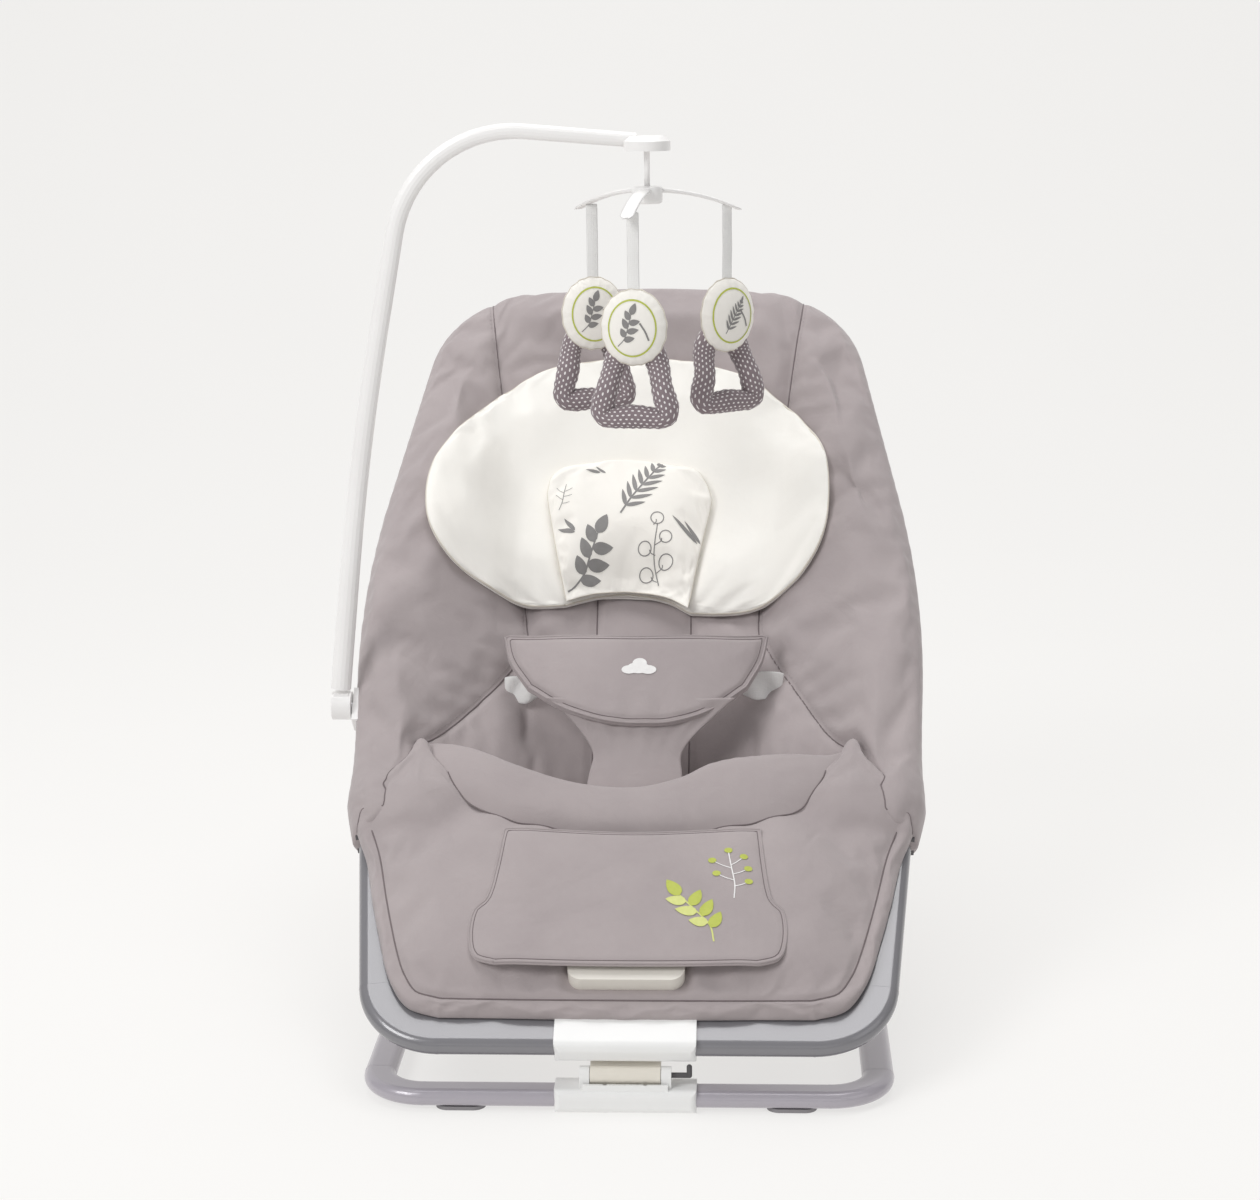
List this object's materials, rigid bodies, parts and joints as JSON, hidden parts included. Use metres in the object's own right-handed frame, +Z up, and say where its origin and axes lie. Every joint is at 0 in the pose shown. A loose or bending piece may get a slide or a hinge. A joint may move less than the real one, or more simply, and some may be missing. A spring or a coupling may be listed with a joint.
{
  "type": "baby bouncer seat",
  "caption": "Cantilever baby bouncer: floor loop, folding front hinge, reclining padded seat with harness, flap over a vibration unit, and a side arm with a hanging toy mobile.",
  "frame": {"origin": "underside centre of the front lower housing, on the floor", "axes": "+X to the right seen from the front, +Y to the rear, +Z up"},
  "size_m": [0.5262, 0.6212, 0.7629],
  "materials": {
    "base_paint": "satin",
    "frame_paint": "satin",
    "white_plastic": "satin",
    "link_plastic": "matte",
    "dark_plastic": "matte",
    "steel": "brushed",
    "feet_rubber": "matte",
    "mauve_fabric": "matte",
    "cream_fabric": "matte",
    "print_fabric": "matte",
    "webbing": "matte",
    "dotted_fabric": "matte",
    "vibration_plastic": "matte",
    "battery_metal": "gloss"
  },
  "bodies": {
    "base": {"base_tube": "base_paint", "base_housing_top": "white_plastic", "base_housing_bottom": "white_plastic", "base_housing_screws": "steel", "front_feet": "feet_rubber", "rear_feet": "feet_rubber", "fold_pin": "steel"},
    "link": {"hinge_link": "link_plastic", "bounce_pin": "steel", "bounce_spring": "steel"},
    "lever": {"fold_lever": "dark_plastic"},
    "seat": {"seat_tube": "frame_paint", "seat_housing_top": "white_plastic", "seat_housing_bottom": "white_plastic", "seat_housing_screws": "steel", "hub_seat_left": "dark_plastic", "hub_seat_right": "dark_plastic", "recline_pins": "steel", "frame_rivets": "steel", "leg_rest_pad": "mauve_fabric", "knee_roll": "mauve_fabric", "seat_pocket": "mauve_fabric", "crotch_pad": "mauve_fabric", "belly_panel": "mauve_fabric", "waist_straps": "webbing", "harness_buckle": "white_plastic", "vibration_case_top": "vibration_plastic", "vibration_case_bottom": "vibration_plastic", "battery_door": "vibration_plastic", "battery": "battery_metal", "vibration_motor": "steel"},
    "button": {"vibration_button": "vibration_plastic"},
    "weight": {"eccentric_weight": "steel"},
    "flap": {"front_flap": "mauve_fabric"},
    "backrest": {"back_tube": "frame_paint", "back_rivets": "steel", "hub_back_left": "dark_plastic", "hub_back_right": "dark_plastic", "back_pad": "mauve_fabric", "wing_left": "mauve_fabric", "wing_right": "mauve_fabric", "head_support": "cream_fabric", "head_cushion": "print_fabric", "arm_socket": "white_plastic", "arm_pin": "steel"},
    "recline_left": {"recline_button_left": "white_plastic"},
    "recline_right": {"recline_button_right": "white_plastic"},
    "arm": {"arm_knuckle": "white_plastic", "arm_tube": "white_plastic", "arm_head": "white_plastic"},
    "mobile": {"mobile_spider": "white_plastic"},
    "toy_left": {"toy_left_ribbon": "webbing", "toy_left_head": "print_fabric", "toy_left_ring": "dotted_fabric"},
    "toy_front": {"toy_front_ribbon": "webbing", "toy_front_head": "print_fabric", "toy_front_ring": "dotted_fabric"},
    "toy_right": {"toy_right_ribbon": "webbing", "toy_right_head": "print_fabric", "toy_right_ring": "dotted_fabric"}
  },
  "joints": [
    {"name": "fold", "type": "hinge", "parent": "base", "child": "link", "pos_m": [0, -0.002, 0.028], "axis": [1, 0, 0], "range_deg": [-18, 0]},
    {"name": "bounce", "type": "hinge", "parent": "link", "child": "seat", "pos_m": [0, 0.01676, 0.04193], "axis": [1, 0, 0], "range_deg": [-3, 3], "stiffness_Nm_per_rad": 400, "springref_deg": 1.83},
    {"name": "fold_lever_turn", "type": "hinge", "parent": "base", "child": "lever", "pos_m": [0, -0.002, 0.028], "axis": [1, 0, 0], "range_deg": [0, 35], "stiffness_Nm_per_rad": 0.05, "springref_deg": -11.46},
    {"name": "recline", "type": "hinge", "parent": "seat", "child": "backrest", "pos_m": [0, 0.20943, 0.17753], "axis": [1, 0, 0], "range_deg": [-15, 0]},
    {"name": "recline_button_left_press", "type": "slide", "parent": "backrest", "child": "recline_left", "axis": [1, 0, 0], "range_m": [0, 0.0015], "stiffness_N_per_m": 400, "springref_m": -0.001},
    {"name": "recline_button_right_press", "type": "slide", "parent": "backrest", "child": "recline_right", "axis": [-1, 0, 0], "range_m": [0, 0.0015], "stiffness_N_per_m": 400, "springref_m": -0.001},
    {"name": "flap_lift", "type": "hinge", "parent": "seat", "child": "flap", "pos_m": [0, 0.15009, 0.18504], "axis": [1, 0, 0], "range_deg": [-110, 0]},
    {"name": "vibration_button_press", "type": "slide", "parent": "seat", "child": "button", "axis": [0, 0.515, -0.8572], "range_m": [0, 0.0015], "stiffness_N_per_m": 400, "springref_m": -0.001},
    {"name": "weight_spin", "type": "hinge", "parent": "seat", "child": "weight", "pos_m": [0, 0.05035, 0.07728], "axis": [1, 0, 0], "continuous": true},
    {"name": "arm_swing", "type": "hinge", "parent": "backrest", "child": "arm", "pos_m": [0, 0.27808, 0.25582], "axis": [1, 0, 0], "range_deg": [0, 70]},
    {"name": "mobile_spin", "type": "hinge", "parent": "arm", "child": "mobile", "pos_m": [0.013, 0.27808, 0.704], "axis": [0, 0, 1], "continuous": true},
    {"name": "toy_left_swing", "type": "hinge", "parent": "mobile", "child": "toy_left", "pos_m": [-0.03832, 0.32115, 0.68491], "axis": [0.6428, 0.766, 0], "range_deg": [-5, 25]},
    {"name": "toy_front_swing", "type": "hinge", "parent": "mobile", "child": "toy_front", "pos_m": [0.00137, 0.2121, 0.68491], "axis": [-0.9848, 0.1736, 0], "range_deg": [-5, 25]},
    {"name": "toy_right_swing", "type": "hinge", "parent": "mobile", "child": "toy_right", "pos_m": [0.07596, 0.301, 0.68491], "axis": [0.342, -0.9397, 0], "range_deg": [-5, 25]}
  ]
}
